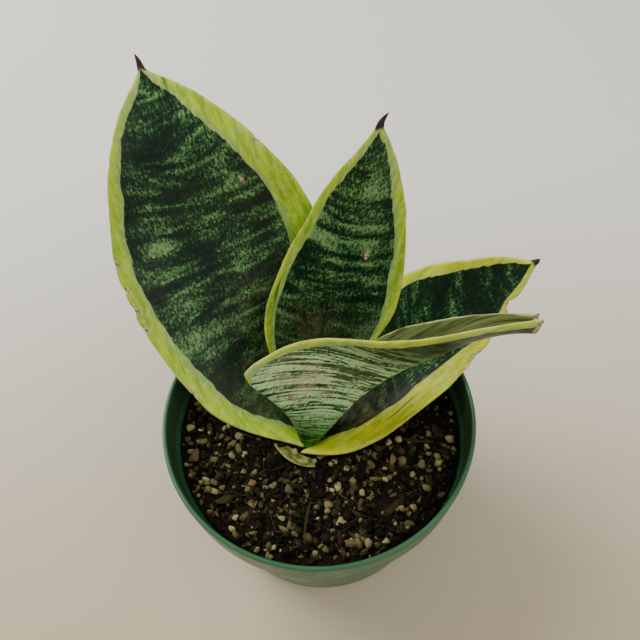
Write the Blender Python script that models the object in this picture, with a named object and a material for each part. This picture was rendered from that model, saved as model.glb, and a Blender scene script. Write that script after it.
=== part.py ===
"""Potted snake plant: a young bird's nest snake plant in a round thin-walled grow pot.

Metres, +Z up. The origin is the middle of the pot's underside, which lies flat on Z = 0.
The plant is a rosette of four thick leaves round a short crown. Each leaf is a channelled
blade given by three smooth lines: its two margins and its midrib.
"""

import math
from dataclasses import dataclass

import bmesh
import bpy
import numpy as np
from mathutils import Matrix, Vector, noise
from mathutils.bvhtree import BVHTree

MM = 0.001
GAP = 0.35 * MM  # between pieces that touch in the real pot

# Pot
POT_HEIGHT = 68 * MM
RIM_RADIUS = 52 * MM
FOOT_RADIUS = 40.5 * MM
COLLAR_HEIGHT = 13 * MM
COLLAR_TAPER = 0.8 * MM
COLLAR_STEP = 1.2 * MM
LIP_THICKNESS = 1.5 * MM
WALL = 1.3 * MM
FLOOR = 1.8 * MM
FOOT_ROUND = 2.5 * MM
POT_STEPS = 60
DRAIN_HOLES = 8
DRAIN_RADIUS = 3.5 * MM
DRAIN_CIRCLE = 30 * MM

# Potting mix
SOIL_LEVEL = POT_HEIGHT - 12 * MM
SOIL_RELIEF = 1.1 * MM
SOIL_LUMP = 11 * MM  # width of one rise or hollow of its surface
CROWN_POCKET = 21 * MM
POCKET_FLOOR = 13.5 * MM
POCKET_DEPTH = 9 * MM
SOIL_STEPS = 40

# Crown
CROWN_RADIUS = 11.5 * MM
CROWN_HEIGHT = 4 * MM
CROWN_TOP = SOIL_LEVEL - 4.2 * MM

# Leaves
LEAF_ROWS = 20
LEAF_COLUMNS = 10
BASE_THICKNESS = 2.4 * MM
TIP_THICKNESS = 1.4 * MM
MARGIN_SHARE = 0.42  # of the midrib's thickness


@dataclass(frozen=True)
class Blade:
    """One leaf: three lines of points from base to tip, in mm from the soil's level at the crown."""

    name: str
    left: tuple
    midrib: tuple
    right: tuple
    crease: float = 2.0  # 2 is a round channel, 1 is a sharp fold along the midrib


BLADES = (
    Blade(
        "leaf_left_large",
        left=((-9, -8, -2), (-28, -3, 4), (-42, 6, 14), (-53, 18, 26), (-61, 30, 44),
              (-61, 42, 65), (-57, 55, 82), (-48, 72, 95)),
        midrib=((-11, 4, -3), (-21, 13, 8), (-23, 23, 19), (-26, 31, 31), (-31, 42, 46),
                (-37, 51, 62), (-42, 58, 79), (-47, 73, 96)),
        right=((-4, 14, -3), (-2, 27, 13), (1, 35, 27), (4, 40, 44), (1, 43, 64),
               (-8, 47, 79), (-26, 61, 89), (-45.5, 72.5, 96)),
    ),
    Blade(
        "leaf_centre",
        left=((-5, 4, -3), (-15, 16, 20), (-15, 26, 37), (-5, 34, 57), (5, 40, 73),
              (14, 43, 84), (21, 47, 91)),
        midrib=((2, 8, -3), (2, 15, 12), (5, 28, 27), (10, 36, 46), (15, 41, 65),
                (19, 44, 80), (22, 48, 91)),
        right=((8, 3, -3), (19, 18, 20), (27, 24, 33), (30, 33, 50), (29, 39, 68),
               (26, 45, 82), (23.5, 47.5, 91)),
    ),
    Blade(
        "leaf_front_folded",
        left=((-5, -4, -3), (-13, 0, 20), (-21, 1, 34), (-4, 3, 48), (18, -4, 56),
              (37, -8, 63), (50, -9, 68), (58, -10, 71)),
        midrib=((1, -7.5, -3), (1, -5, 4), (7, -3, 13), (16, 0, 24), (29, 0, 36),
                (42, -2, 48), (51, -5, 58), (58, -8, 64)),
        right=((6, -3, -3), (7, 6, 12), (12, 11, 24), (22, 12, 38), (33, 8, 50),
               (44, 4, 59), (52, 0, 65), (59, -3, 68)),
        crease=1.5,
    ),
    Blade(
        "leaf_right",
        left=((9, 8, -3), (17, 25, 10), (27, 35, 21), (36, 38, 35), (47, 35, 43),
              (59, 32, 48), (70, 28, 50)),
        midrib=((13, -4, -3), (14, 4, 2), (26, 14, 6), (38, 22, 16), (49, 26, 26),
                (60, 27, 38), (71, 27, 50)),
        right=((-4, -12.5, -1), (11, -11, 2), (29, -2, 6), (47, 7, 14), (58, 15, 26),
               (66, 22, 38), (71, 25.5, 50)),
    ),
)

# A dried scale of an old leaf, folded round the front of the crown.
SHEATH = Blade(
    "basal_sheath",
    left=((-16, -8, -2.5), (-14, -12, 0), (-9, -15.5, 2), (-3, -17, 1.5), (3, -16.5, -1)),
    midrib=((-15, -7.5, -3.5), (-13, -11, -2.5), (-8.5, -14, -2), (-3, -15.5, -2), (2, -15, -3)),
    right=((-14, -7, -4.5), (-12, -10, -5), (-8, -12.5, -5), (-3, -13.5, -5), (1.5, -13.5, -5)),
)
SHEATH_THICKNESS = 0.9 * MM


@dataclass(frozen=True)
class Piece:
    """One loose piece on the mix: its middle, its size and its turn, in mm and degrees."""

    name: str
    place: tuple
    size: tuple
    turn: float
    roughness: float  # how far its surface leaves a smooth oval, as a share of its size


PERLITE = (
    Piece("perlite_01", (-45, 1), (4.2, 3.6, 3.0), 20, 0.18),
    Piece("perlite_02", (44, -8), (4.8, 3.8, 2.8), 10, 0.15),
    Piece("perlite_03", (-29, -35), (3.2, 2.6, 2.2), 50, 0.18),
    Piece("perlite_04", (-23, -37), (3.0, 2.8, 2.2), 0, 0.18),
    Piece("perlite_05", (29, -31), (3.6, 3.2, 2.4), 70, 0.18),
    Piece("perlite_06", (19, -41), (3.4, 2.8, 2.2), 30, 0.18),
    Piece("perlite_07", (13, -25), (3.2, 3.0, 2.4), 15, 0.18),
    Piece("perlite_08", (21, -21), (3.0, 2.6, 2.2), 80, 0.18),
    Piece("perlite_09", (30, -20), (3.0, 2.6, 2.0), 40, 0.18),
    Piece("perlite_10", (5, -23), (3.4, 2.8, 2.4), 55, 0.18),
    Piece("perlite_11", (-38, -18), (3.2, 2.8, 2.2), 10, 0.18),
    Piece("perlite_12", (-3, -44), (3.0, 2.4, 2.0), 65, 0.18),
)
GRIT = (
    Piece("grit_stone_01", (39, -14), (4.0, 3.4, 2.6), 35, 0.10),
    Piece("grit_stone_02", (-11, -23), (4.6, 3.4, 2.6), 60, 0.10),
    Piece("grit_stone_03", (37, 28), (4.0, 3.2, 2.4), 0, 0.10),
    Piece("grit_stone_04", (-30, -10), (3.6, 3.0, 2.2), 25, 0.10),
)
BARK = (
    Piece("bark_chip_01", (-43, -9), (10.0, 4.5, 1.8), 75, 0.12),
    Piece("bark_chip_02", (-14, -29), (5.0, 4.0, 1.8), 30, 0.15),
    Piece("bark_chip_03", (-17, -36), (7.5, 5.0, 2.2), 10, 0.15),
    Piece("bark_chip_04", (9, -41), (9.5, 5.0, 2.0), 15, 0.12),
    Piece("bark_chip_05", (-23, -20), (6.5, 4.0, 2.0), 130, 0.12),
    Piece("bark_chip_06", (24, -14), (8.0, 4.0, 2.2), 85, 0.12),
    Piece("bark_chip_07", (-2, 42), (9.0, 4.5, 2.0), 160, 0.12),
    Piece("bark_chip_08", (40, 10), (8.0, 4.0, 1.8), 60, 0.12),
)
TWIGS = (
    Piece("twig_01", (33, -8), (12.5, 1.3, 1.3), -8, 0.05),
    Piece("twig_02", (-5, -33), (11.0, 1.2, 1.2), 100, 0.05),
    Piece("twig_03", (-17, 40), (12.0, 1.2, 1.2), 15, 0.05),
)


def clear_scene():
    for thing in list(bpy.data.objects):
        bpy.data.objects.remove(thing, do_unlink=True)


def material(name, colour, roughness, metallic=0.0):
    made = bpy.data.materials.new(name)
    made.use_nodes = True
    shader = made.node_tree.nodes["Principled BSDF"]
    shader.inputs["Base Color"].default_value = (*colour, 1.0)
    shader.inputs["Roughness"].default_value = roughness
    shader.inputs["Metallic"].default_value = metallic
    return made


def moulded_plastic():
    return material("moulded_green_plastic", (0.012, 0.090, 0.055), 0.42)


def peat_mix():
    return material("peat_mix", (0.030, 0.021, 0.014), 0.95)


def live_leaf():
    return material("live_leaf", (0.035, 0.110, 0.055), 0.45)


def dried_sheath():
    return material("dried_sheath", (0.180, 0.200, 0.020), 0.60)


def rhizome_skin():
    return material("rhizome_skin", (0.420, 0.300, 0.130), 0.70)


def perlite_grain():
    return material("perlite_grain", (0.560, 0.500, 0.380), 0.90)


def grit_grain():
    return material("grit_grain", (0.200, 0.190, 0.130), 0.85)


def bark_wood():
    return material("bark_wood", (0.160, 0.080, 0.035), 0.90)


def add_object(name, shape, finish):
    """An object from a bmesh, with outward faces and smooth shading that keeps sharp edges."""
    bmesh.ops.recalc_face_normals(shape, faces=shape.faces)
    mesh = bpy.data.meshes.new(name)
    shape.to_mesh(mesh)
    shape.free()
    mesh.shade_smooth()
    mesh.set_sharp_from_angle(angle=math.radians(40))
    mesh.materials.append(finish)
    made = bpy.data.objects.new(name, mesh)
    bpy.context.scene.collection.objects.link(made)
    return made


def turned(profile, steps):
    """A closed bmesh turned from a half section, given as (radius, height) from axis to axis."""
    shape = bmesh.new()
    corners = [shape.verts.new((radius, 0, height)) for radius, height in profile]
    edges = [shape.edges.new(pair) for pair in zip(corners, corners[1:])]
    bmesh.ops.spin(
        shape,
        geom=corners + edges,
        cent=(0, 0, 0),
        axis=(0, 0, 1),
        angle=math.tau,
        steps=steps,
    )
    bmesh.ops.remove_doubles(shape, verts=shape.verts, dist=0.01 * MM)
    return shape


def outer_radius(height):
    """The body's outside, below the collar."""
    top = RIM_RADIUS - COLLAR_TAPER - COLLAR_STEP
    return FOOT_RADIUS + (top - FOOT_RADIUS) * height / (POT_HEIGHT - COLLAR_HEIGHT)


def inner_radius(height):
    """The inside of the wall, one straight taper from floor to collar, then a wider collar."""
    return outer_radius(height) - WALL


def pot_profile():
    collar_foot = POT_HEIGHT - COLLAR_HEIGHT
    inner_step = collar_foot + COLLAR_STEP
    foot = [
        (
            FOOT_RADIUS - FOOT_ROUND * (1 - math.sin(turn)),
            FOOT_ROUND * (1 - math.cos(turn)),
        )
        for turn in (0, math.pi / 6, math.pi / 3, math.pi / 2)
    ]
    lip = LIP_THICKNESS / 2
    rim = [
        (RIM_RADIUS - lip + lip * math.sin(turn), POT_HEIGHT - lip + lip * math.cos(turn))
        for turn in (math.pi / 2, math.pi / 4, 0, -math.pi / 4, -math.pi / 2)
    ]
    return [
        (0, 0),
        *foot,
        (outer_radius(collar_foot), collar_foot),
        (RIM_RADIUS - COLLAR_TAPER, collar_foot + COLLAR_STEP / 2),
        *rim,
        (RIM_RADIUS - COLLAR_TAPER - WALL, inner_step + COLLAR_STEP / 2),
        (inner_radius(collar_foot), inner_step - COLLAR_STEP / 2),
        (inner_radius(FLOOR) - FOOT_ROUND / 2, FLOOR),
        (0, FLOOR),
    ]


def drain_cutter(index):
    """One drain hole's cutter, which passes right through the floor."""
    turn = math.tau * (index + 0.5) / DRAIN_HOLES
    shape = bmesh.new()
    bmesh.ops.create_cone(
        shape,
        cap_ends=True,
        segments=16,
        radius1=DRAIN_RADIUS,
        radius2=DRAIN_RADIUS,
        depth=4 * FLOOR,
    )
    cutter = add_object(f"drain_cutter_{index}", shape, moulded_plastic())
    cutter.location = (
        DRAIN_CIRCLE * math.cos(turn),
        DRAIN_CIRCLE * math.sin(turn),
        FLOOR / 2,
    )
    cutter.hide_render = True
    cutter.display_type = "WIRE"
    return cutter


def build_pot():
    pot = add_object("pot", turned(pot_profile(), POT_STEPS), moulded_plastic())
    for index in range(DRAIN_HOLES):
        cut = pot.modifiers.new(f"drain_{index}", "BOOLEAN")
        cut.operation = "DIFFERENCE"
        cut.solver = "EXACT"
        cut.object = drain_cutter(index)
    return pot


def smooth_step(share):
    share = min(max(share, 0.0), 1.0)
    return share * share * (3 - 2 * share)


def soil_height(x, y):
    """The mix's surface: low lumps, and a pocket that takes the crown."""
    reach = math.hypot(x, y)
    lumps = noise.noise(Vector((x / SOIL_LUMP, y / SOIL_LUMP, 0))) * SOIL_RELIEF
    open_share = smooth_step((reach - POCKET_FLOOR) / (CROWN_POCKET - POCKET_FLOOR))
    return SOIL_LEVEL + lumps * open_share - POCKET_DEPTH * (1 - open_share)


def build_potting_mix():
    """The mix fills the pot to just under the collar's foot, with a loose, lumpy top."""
    rim_reach = inner_radius(SOIL_LEVEL) - GAP - 0.3 * MM
    rings = [
        0.0,
        CROWN_RADIUS,
        *np.linspace(POCKET_FLOOR, CROWN_POCKET, 4),
        *np.linspace(CROWN_POCKET, rim_reach, 7)[1:],
    ]
    shape = bmesh.new()
    turns = [math.tau * step / SOIL_STEPS for step in range(SOIL_STEPS)]

    def ring(reach, height):
        return [
            shape.verts.new(
                (
                    reach * math.cos(turn),
                    reach * math.sin(turn),
                    height(reach * math.cos(turn), reach * math.sin(turn)),
                )
            )
            for turn in turns
        ]

    floor_height = FLOOR + GAP
    floor_reach = inner_radius(floor_height) - FOOT_ROUND / 2 - 2 * GAP
    middle = shape.verts.new((0, 0, soil_height(0, 0)))
    under = shape.verts.new((0, 0, floor_height))
    levels = [ring(reach, soil_height) for reach in rings[1:]]
    levels.append(ring(floor_reach, lambda x, y: floor_height))
    for step in range(SOIL_STEPS):
        after = (step + 1) % SOIL_STEPS
        shape.faces.new((middle, levels[0][step], levels[0][after]))
        shape.faces.new((under, levels[-1][after], levels[-1][step]))
        for inner, outer in zip(levels, levels[1:]):
            shape.faces.new((inner[step], outer[step], outer[after], inner[after]))
    bmesh.ops.triangulate(shape, faces=shape.faces)
    return add_object("potting_mix", shape, peat_mix())


def build_crown():
    """The short rhizome top that the leaves grow from, under them in its pocket."""
    low = CROWN_TOP - CROWN_HEIGHT
    profile = [
        (0, low),
        (CROWN_RADIUS * 0.75, low),
        (CROWN_RADIUS, low + CROWN_HEIGHT * 0.35),
        (CROWN_RADIUS, low + CROWN_HEIGHT * 0.7),
        (CROWN_RADIUS * 0.85, CROWN_TOP),
        (0, CROWN_TOP),
    ]
    return add_object("crown", turned(profile, 24), rhizome_skin())


def natural_curve(points, count):
    """Count points on the natural cubic spline through the given points, evenly in their order."""
    points = np.asarray(points, float)
    last = len(points) - 1
    matrix = np.eye(last + 1)
    right_side = np.zeros_like(points)
    for row in range(1, last):
        matrix[row, row - 1 : row + 2] = (1, 4, 1)
        right_side[row] = 6 * (points[row - 1] - 2 * points[row] + points[row + 1])
    bend = np.linalg.solve(matrix, right_side)
    place = np.linspace(0, last, count)
    start = np.minimum(place.astype(int), last - 1)
    after = (place - start)[:, None]
    before = 1 - after
    return (
        before * points[start]
        + after * points[start + 1]
        + (before**3 - before) * bend[start] / 6
        + (after**3 - after) * bend[start + 1] / 6
    )


def blade_middle(blade, rows, columns):
    """The blade's middle surface as a rows by columns grid of points."""
    left, midrib, right = (
        natural_curve(line, rows)[:, None] * MM + np.array((0, 0, SOIL_LEVEL))
        for line in (blade.left, blade.midrib, blade.right)
    )
    across = np.linspace(-1, 1, columns + 1)[None, :, None]
    slope = (right - left) / 2
    hollow = (right + left) / 2 - midrib
    return midrib + slope * across + hollow * np.abs(across) ** blade.crease


def surface_normals(grid):
    along = np.gradient(grid, axis=0)
    across = np.gradient(grid, axis=1)
    normals = np.cross(across, along)
    return normals / np.linalg.norm(normals, axis=2, keepdims=True)


def build_blade(blade, base_thickness, tip_thickness, finish, rows=LEAF_ROWS):
    """A closed blade: its middle surface moved half a thickness each way, thinner at the margins."""
    grid = blade_middle(blade, rows, LEAF_COLUMNS)
    across = np.linspace(-1, 1, LEAF_COLUMNS + 1)[None, :]
    along = np.linspace(0, 1, rows)[:, None]
    midrib_thickness = base_thickness + (tip_thickness - base_thickness) * along
    thickness = midrib_thickness * (1 - (1 - MARGIN_SHARE) * across**4)
    offset = surface_normals(grid) * thickness[:, :, None] / 2
    shape = bmesh.new()
    upper, lower = (
        [[shape.verts.new(point) for point in row] for row in face]
        for face in (grid + offset, grid - offset)
    )
    for row in range(rows - 1):
        for column in range(LEAF_COLUMNS):
            for side in (upper, lower):
                shape.faces.new(
                    (
                        side[row][column],
                        side[row][column + 1],
                        side[row + 1][column + 1],
                        side[row + 1][column],
                    )
                )
        for edge in (0, -1):
            shape.faces.new(
                (upper[row][edge], upper[row + 1][edge], lower[row + 1][edge], lower[row][edge])
            )
    for end in (0, -1):
        for column in range(LEAF_COLUMNS):
            shape.faces.new(
                (
                    upper[end][column],
                    upper[end][column + 1],
                    lower[end][column + 1],
                    lower[end][column],
                )
            )
    return add_object(blade.name, shape, finish)


def build_plant():
    for blade in BLADES:
        build_blade(blade, BASE_THICKNESS, TIP_THICKNESS, live_leaf())
    build_blade(SHEATH, SHEATH_THICKNESS, SHEATH_THICKNESS, dried_sheath(), rows=12)


def surface_below(tree, point):
    hit, _, _, _ = tree.ray_cast(Vector((point.x, point.y, POT_HEIGHT)), Vector((0, 0, -1)))
    return hit.z


def build_loose_piece(piece, finish, mix):
    """An uneven oval grain or chip, let down on the mix until it lies a gap above it."""
    shape = bmesh.new()
    bmesh.ops.create_icosphere(shape, subdivisions=1, radius=0.5)
    own_place = Vector((*piece.place, 0))
    for corner in shape.verts:
        swell = 1 + piece.roughness * noise.noise(corner.co * 3 + own_place)
        corner.co *= swell
    size = Matrix.Diagonal((*(side * MM for side in piece.size), 1))
    turn = Matrix.Rotation(math.radians(piece.turn), 4, "Z")
    middle = Matrix.Translation(Vector((piece.place[0] * MM, piece.place[1] * MM, 0)))
    bmesh.ops.transform(shape, matrix=middle @ turn @ size, verts=shape.verts)
    lift = max(surface_below(mix, corner.co) - corner.co.z for corner in shape.verts) + GAP
    bmesh.ops.translate(shape, verts=shape.verts, vec=(0, 0, lift))
    return add_object(piece.name, shape, finish)


def build_loose_pieces(potting_mix):
    mix = BVHTree.FromPolygons(
        [corner.co for corner in potting_mix.data.vertices],
        [face.vertices for face in potting_mix.data.polygons],
    )
    kinds = (
        (PERLITE, perlite_grain()),
        (GRIT, grit_grain()),
        (BARK, bark_wood()),
        (TWIGS, bark_wood()),
    )
    for pieces, finish in kinds:
        for piece in pieces:
            build_loose_piece(piece, finish, mix)


def main():
    clear_scene()
    build_pot()
    potting_mix = build_potting_mix()
    build_crown()
    build_plant()
    build_loose_pieces(potting_mix)


main()
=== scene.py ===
"""Looks of the potted snake plant: leaves, pot, potting mix and a plain pale stage.

Everything is in metres in the CAD frame: +Z up, the middle of the pot's underside at the origin.
Lengths named ..._MM and the points of the blades are millimetres.
"""

import math
from dataclasses import dataclass

import bmesh
import bpy
import numpy as np
from mathutils import Euler, Matrix, Vector, noise
from mathutils.bvhtree import BVHTree


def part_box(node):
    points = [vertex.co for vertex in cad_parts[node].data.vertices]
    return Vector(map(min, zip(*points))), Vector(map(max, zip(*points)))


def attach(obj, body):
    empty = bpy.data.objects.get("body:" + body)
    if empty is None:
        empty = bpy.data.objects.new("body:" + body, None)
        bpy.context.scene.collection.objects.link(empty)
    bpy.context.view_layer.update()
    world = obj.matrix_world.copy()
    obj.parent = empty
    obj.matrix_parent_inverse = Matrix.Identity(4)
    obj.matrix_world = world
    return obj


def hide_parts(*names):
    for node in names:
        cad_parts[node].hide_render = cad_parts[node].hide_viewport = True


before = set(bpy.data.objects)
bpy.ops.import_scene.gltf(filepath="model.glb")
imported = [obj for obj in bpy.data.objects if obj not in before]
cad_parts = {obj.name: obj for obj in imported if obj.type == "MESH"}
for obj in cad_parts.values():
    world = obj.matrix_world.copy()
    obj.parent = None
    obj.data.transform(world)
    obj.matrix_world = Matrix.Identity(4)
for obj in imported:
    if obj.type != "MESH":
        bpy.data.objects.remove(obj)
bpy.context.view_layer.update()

bl_info = {
    "name": "Potted Snake Plant",
    "version": (1, 0, 0),
    "blender": (4, 5, 0),
    "location": "3D View > Sidebar > Snake Plant",
    "description": "Builds the detailed leaves, pot and potting mix of a potted snake plant",
    "category": "Add Mesh",
}

MM = 0.001
BODY = "root"

# Places taken from the frame
RIM_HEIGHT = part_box("pot")[1][2]
RIM_RADIUS = (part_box("pot")[1][0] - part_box("pot")[0][0]) / 2
SOIL_LEVEL = RIM_HEIGHT - 12 * MM
SOIL_REACH = (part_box("potting_mix")[1][0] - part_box("potting_mix")[0][0]) / 2

# The pot's section
COLLAR_HEIGHT = 13 * MM
COLLAR_TAPER = 0.8 * MM
COLLAR_STEP = 1.2 * MM
LIP_THICKNESS = 1.5 * MM
WALL = 1.3 * MM
FLOOR = 1.8 * MM
FOOT_RADIUS = 40.5 * MM
FOOT_ROUND = 2.5 * MM
DRAIN_HOLES = 8
DRAIN_RADIUS = 3.5 * MM
DRAIN_CIRCLE = 30 * MM


def linear(code):
    """A linear colour from an sRGB hex code such as #5a8f3c."""
    parts = [int(code[place : place + 2], 16) / 255 for place in (1, 3, 5)]
    return tuple(p / 12.92 if p <= 0.04045 else ((p + 0.055) / 1.055) ** 2.4 for p in parts)


def paint(colour):
    """A node's colour from a hex code, or from a setting, which is linear already."""
    return (*(linear(colour) if isinstance(colour, str) else colour), 1.0)


# ---------------------------------------------------------------- settings


def colour_setting(name, words, code):
    return bpy.props.FloatVectorProperty(
        name=name, description=words, subtype="COLOR", size=3, min=0, max=1, default=linear(code)
    )


def length_setting(name, words, length):
    return bpy.props.FloatProperty(name=name, description=words, default=length, unit="LENGTH")


def count_setting(name, words, count):
    return bpy.props.IntProperty(name=name, description=words, default=count, min=0)


class LeafLooks(bpy.types.PropertyGroup):
    """Colours and sizes of the leaves."""

    dark: colour_setting("Dark green", "The blade's dark ground", "#081d14")
    sage: colour_setting("Sage", "The pale flecked bands across the blade", "#43703f")
    back: colour_setting("Back", "The pale ground of the blade's outer face", "#c8f0b0")
    foot_thickness: length_setting("Foot thickness", "Thickness of a blade at the crown", 2.6 * MM)
    tip_thickness: length_setting("Tip thickness", "Thickness of a blade at its tip", 1.5 * MM)


class PotLooks(bpy.types.PropertyGroup):
    """Colour of the pot."""

    plastic: colour_setting("Plastic", "The green of the moulded pot", "#2c5f3f")


class MixLooks(bpy.types.PropertyGroup):
    """Colour and amounts of the potting mix."""

    peat: colour_setting("Peat", "The dark moist ground of the mix", "#1a160b")
    crumbs: count_setting("Crumbs", "How many peat crumbs lie on the mix", 2400)
    grains: count_setting("Grains", "How many small perlite grains lie on the mix", 300)
    fibres: count_setting("Fibres", "How many coarse fibres lie on the mix", 110)


class StageLooks(bpy.types.PropertyGroup):
    """The floor and the light."""

    floor: colour_setting("Floor", "The plain pale floor", "#c8b99e")
    key_power: bpy.props.FloatProperty(
        name="Key light", description="Power of the large soft light", default=15.5, unit="POWER"
    )


# ---------------------------------------------------------------- helpers


# Settings of the shader nodes that come up most
SMOOTH_STEP = {"kind": "ShaderNodeMapRange", "interpolation_type": "SMOOTHSTEP"}
TINT = {"kind": "ShaderNodeMix", "data_type": "RGBA"}
PRODUCT = {"kind": "ShaderNodeMath", "operation": "MULTIPLY"}
SCALED_SUM = {"kind": "ShaderNodeMath", "operation": "MULTIPLY_ADD"}


def add_node(tree, kind, inputs=None, stops=(), **settings):
    """A shader node with its settings. An input given a socket is linked, and one given a hex
    code is painted."""
    made = tree.nodes.new(kind)
    for name, value in settings.items():
        setattr(made, name, value)
    for index, (place, colour) in enumerate(stops):
        elements = made.color_ramp.elements
        element = elements[index] if index < len(elements) else elements.new(place)
        element.position = place
        element.color = paint(colour)
    for name, value in (inputs or {}).items():
        if isinstance(value, bpy.types.NodeSocket):
            tree.links.new(value, made.inputs[name])
        else:
            made.inputs[name].default_value = paint(value) if isinstance(value, str) else value
    return made


def new_material(name):
    made = bpy.data.materials.new(name)
    made.use_nodes = True
    made.node_tree.nodes.clear()
    return made, made.node_tree


def shaded(made, surface):
    """The material, its nodes ended by a Principled shader with these inputs."""
    shader = add_node(made.node_tree, "ShaderNodeBsdfPrincipled", surface)
    add_node(made.node_tree, "ShaderNodeOutputMaterial", {"Surface": shader.outputs[0]})
    return made


def mesh_object(name, points, faces, finish, numbers, nodes=()):
    """A smooth piece with its per-point numbers, riding on the plant's one body.

    Each array of faces holds the corners of faces with one number of sides.
    """
    mesh = bpy.data.meshes.new(name)
    mesh.vertices.add(len(points))
    mesh.vertices.foreach_set("co", np.asarray(points, np.float32).ravel())
    corners = np.concatenate([part.ravel() for part in faces])
    sides = np.concatenate([np.full(len(part), part.shape[1]) for part in faces])
    mesh.loops.add(len(corners))
    mesh.loops.foreach_set("vertex_index", corners.astype(np.int32))
    mesh.polygons.add(len(sides))
    mesh.polygons.foreach_set("loop_start", (np.cumsum(sides) - sides).astype(np.int32))
    for key, values in numbers.items():
        single = values.ndim == 1
        layer = mesh.attributes.new(key, "FLOAT" if single else "FLOAT_VECTOR", "POINT")
        layer.data.foreach_set("value" if single else "vector", values.astype(np.float32).ravel())
    mesh.update(calc_edges=True)
    mesh.validate()
    mesh.shade_smooth()
    mesh.materials.append(finish)
    made = bpy.data.objects.new(name, mesh)
    bpy.context.scene.collection.objects.link(made)
    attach(made, BODY)
    if nodes:
        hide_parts(*nodes)


def lumps(points, width, seed):
    """Smooth noise from -1 to 1 at each point; width is the size of one lump in the points' unit."""
    shift = Vector((seed * 3.1, seed * 1.7, seed * 2.3))
    return np.array([noise.noise(Vector(p) / width + shift) for p in np.asarray(points, float)])


def soft_step(values, low, high):
    share = np.clip((np.asarray(values, float) - low) / (high - low), 0, 1)
    return share * share * (3 - 2 * share)


def nodes_like(start):
    return sorted(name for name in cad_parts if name.startswith(start))


# ---------------------------------------------------------------- materials


# Patterns on a leaf: width across and length along the blade in mm, detail, shift, distortion.
# The bands are about 5 mm wide and broken into flecks of about 1 mm.
LEAF_PATTERNS = {
    "band": (22, 4.6, 2, 3.7, 0.9),
    "fleck": (0.8, 1.15, 3, 11.3, 0.8),
    "speck": (0.3, 0.4, 2, 7.9, 0),
    "cloud": (11, 15, 1, 5.1, 0),
    "thin_line": (18, 1.8, 2, 19.1, 1.3),
    "fibre": (1.0, 22, 2, 71, 0),
    "streak": (1.6, 30, 2, 29, 0),
    "wander": (30, 16, 1, 33, 0),
    "yellowing": (2.4, 14, 3, 41, 0),
    "blotch": (3.4, 7, 4, 43, 0),
    "pale_cloud": (1.7, 2.8, 6, 47, 0.6),
    "green_dash": (0.7, 2.2, 3, 49, 0),
    "wedge": (2.4, 24, 2, 51, 0),
    "splash": (2.5, 3.0, 4, 53, 0),
    "cork": (0.8, 1.0, 3, 59, 0),
    "rib": (0.9, 40, 1, 61, 0),
}
# Sums of patterns and of places in mm, each with its share
LEAF_SUMS = {
    "inner_green": {"band": 1, "fleck": 1, "speck": 0.45, "cloud": 0.5},
    "outer_green": {"thin_line": 1, "fleck": 0.45, "speck": 0.25},
    "past_stripe": {"edge": 1, "streak": -1.8, "wander": -3.4, "stripe_width": -1},
    "stripe_blend": {"past_stripe": 1, "blotch": 5},
    "relief": {"rib": 1, "speck": 0.35},
}


def leaf_steps(blade):
    """Smooth steps on a leaf: what each reads, where it starts and ends, and its values there."""
    return {
        "inner_level": ("inner_green", 1.14 - blade.sage_share, 1.86 - blade.sage_share, 0, 1),
        "outer_level": ("outer_green", 0.7, 1, 0, 1),
        "foot": ("along", 5, 30, 1, 0),
        "old_end": ("along", 42, 68, 0, 0.92 * blade.cut_tip),
        # Painted shade on the inner face: strongest at the crown and gone 50 mm up the blade.
        "deep": ("along", 8, 50, 0.72, 0),
        "fibres": ("fibre", 0.3, 0.7, 0, 1),
        "stripe": ("past_stripe", -2.75, -2.35, 1, 0),
        "deeper_yellow": ("yellowing", 0.35, 0.68, 0, 1),
        "faded": ("stripe_blend", -2.4, -0.2, 0, blade.stripe_fade),
        "pale": ("pale_cloud", 0.46, 0.66, 0, 0.5),
        "dashes": ("green_dash", 0.58, 0.72, 0, 0.45),
        "wedges": ("wedge", 0.64, 0.76, 0, 0.8),
        "dry_line": ("edge", 0.08, 0.3, 0.45, 0),
        "splashes": ("splash", 0.36, 0.66, 0, 1),
        "corking": ("cork", 0.4, 0.62, 0, 1),
    }


def leaf_coats(blade):
    """Coats of colour on a leaf: the coat's name, its share, what is under it and what is over."""
    return (
        # The outer face is greener at the foot, and darker towards a cut end.
        ("outer", "old_end", "outer", "#24391c"),
        # The inner face has painted shade towards the crown, and is streaked along where it is grey.
        ("grey", "fibres", "#3c4a24", "#78834c"),
        ("inner", "deep", "inner", blade.crown_shade_tone),
        ("inner", "greyness", "inner", "grey"),
        ("face", "outer_face", "inner", "outer"),
        # The margin stripe fades to a speckled pale green inwards, with a few deep green wedges.
        ("yellow", "deeper_yellow", blade.stripe_light, blade.stripe_deep),
        ("yellow", "faded", "yellow", "#92b26e"),
        ("yellow", "pale", "yellow", "#d3e07c"),
        ("yellow", "dashes", "yellow", "#6f9430"),
        ("yellow", "wedges", "yellow", "#2c5226"),
        ("skin", "stripe", "face", "yellow"),
        # A thin dry line on the very edge, then mud, callus and the spine's dead tissue.
        ("skin", "dry_line", "skin", "#b9ad72"),
        ("soil", "outer_face", "#5f543c", "#b59c80"),
        ("skin", "mud", "skin", "soil"),
        ("callus", "corking", "#d8c9a6", "#6b4326"),
        ("skin", "dried", "skin", "callus"),
        ("skin", "spine", "skin", "#2c2119"),
    )


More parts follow.
